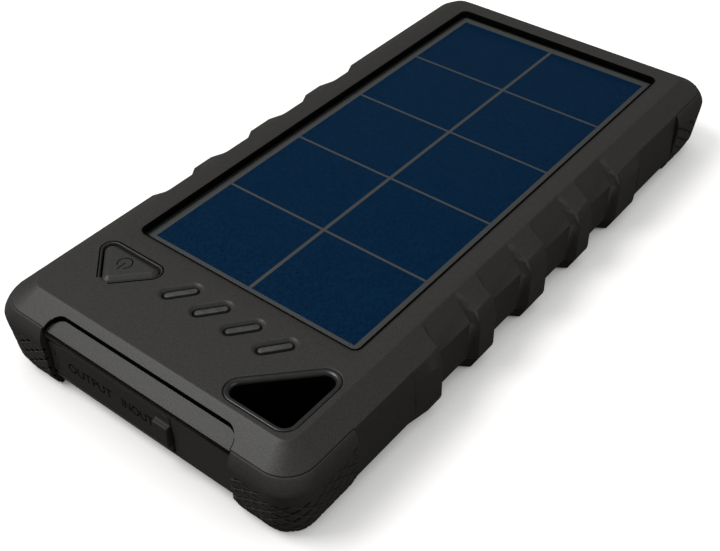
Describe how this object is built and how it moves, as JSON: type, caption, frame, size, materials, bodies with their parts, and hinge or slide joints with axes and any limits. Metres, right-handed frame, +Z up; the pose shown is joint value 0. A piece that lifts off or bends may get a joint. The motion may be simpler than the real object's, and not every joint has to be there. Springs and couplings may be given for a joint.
{
  "type": "solar phone charger",
  "caption": "Rugged solar power bank: ribbed housing with rubber corner bumpers, inset solar panel, triangular power button, hinged port cover and three-sided lanyard eyelet.",
  "frame": {"origin": "centre of the footprint on the ground, between the rubber corner bumpers", "axes": "+Z up out of the solar panel, +Y along the length away from the ports, +X to the right seen from above with the ports nearest"},
  "size_m": [0.0842, 0.1708, 0.0211],
  "materials": {
    "housing": "fine spark texture, satin",
    "housing_base": "fine spark texture, satin",
    "bumper_rubber": "soft-touch elastomer, matt",
    "seal_rubber": "smooth silicone",
    "eyelet": "smooth satin",
    "foam_tape": "acrylic foam tape",
    "panel_board": "glass-fibre sheet, grey mask",
    "solar_cell": "dark blue silicon",
    "clear_resin": "clear casting resin",
    "red_wire": "silicone insulation",
    "black_plastic": "moulded, matt",
    "light_guide": "smoke-tinted polycarbonate, satin",
    "led_white": "chip LED",
    "green_board": "solder-masked circuit board",
    "socket_steel": "nickel-plated steel",
    "gold_contact": "gold flash",
    "chip_epoxy": "moulded epoxy",
    "ferrite": "pressed iron powder",
    "can_aluminium": "drawn can",
    "ceramic": "ceramic body",
    "zinc_screw": "zinc plated",
    "black_screw": "black oxide",
    "cover_rubber": "thermoplastic rubber, matt",
    "pouch_foil": "laminated foil, satin",
    "foam": "closed-cell foam",
    "nickel": "nickel strip",
    "button_rubber": "fine spark texture, satin"
  },
  "bodies": {
    "housing": {"upper_housing": "housing", "lower_housing": "housing_base", "bumper_front_left": "bumper_rubber", "bumper_front_right": "bumper_rubber", "bumper_rear_left": "bumper_rubber", "bumper_rear_right": "bumper_rubber", "housing_seal": "seal_rubber", "lanyard_eyelet": "eyelet", "solar_tape": "foam_tape", "solar_substrate": "panel_board", "solar_cells": "solar_cell", "solar_resin": "clear_resin", "solar_leads": "red_wire", "switch_body": "black_plastic", "switch_plunger": "black_plastic", "light_guides": "light_guide", "charge_leds": "led_white", "main_board": "green_board", "usb_a_shell": "socket_steel", "usb_a_insert": "black_plastic", "usb_a_contacts": "gold_contact", "usb_c_shell": "socket_steel", "usb_c_insert": "black_plastic", "control_chips": "chip_epoxy", "power_inductor": "ferrite", "filter_capacitors": "can_aluminium", "chip_capacitors": "ceramic", "board_screws": "zinc_screw", "case_screws": "black_screw", "cover_anchor": "cover_rubber", "battery_lower": "pouch_foil", "battery_upper": "pouch_foil", "cell_bond": "foam_tape", "foam_pads": "foam", "protection_board": "green_board", "cell_tabs": "nickel", "battery_leads": "red_wire"},
    "power_button": {"power_button": "button_rubber"},
    "port_cover": {"port_cover": "cover_rubber"}
  },
  "joints": [
    {"name": "button_press", "type": "hinge", "parent": "housing", "child": "power_button", "pos_m": [-0.02395, -0.069, 0.0202], "axis": [-1, 0, 0], "range_deg": [0, 2.1], "stiffness_Nm_per_rad": 0.4},
    {"name": "cover_swing", "type": "hinge", "parent": "housing", "child": "port_cover", "pos_m": [-0.02375, -0.0839, 0.00955], "axis": [0, 0, -1], "range_deg": [0, 105]}
  ]
}
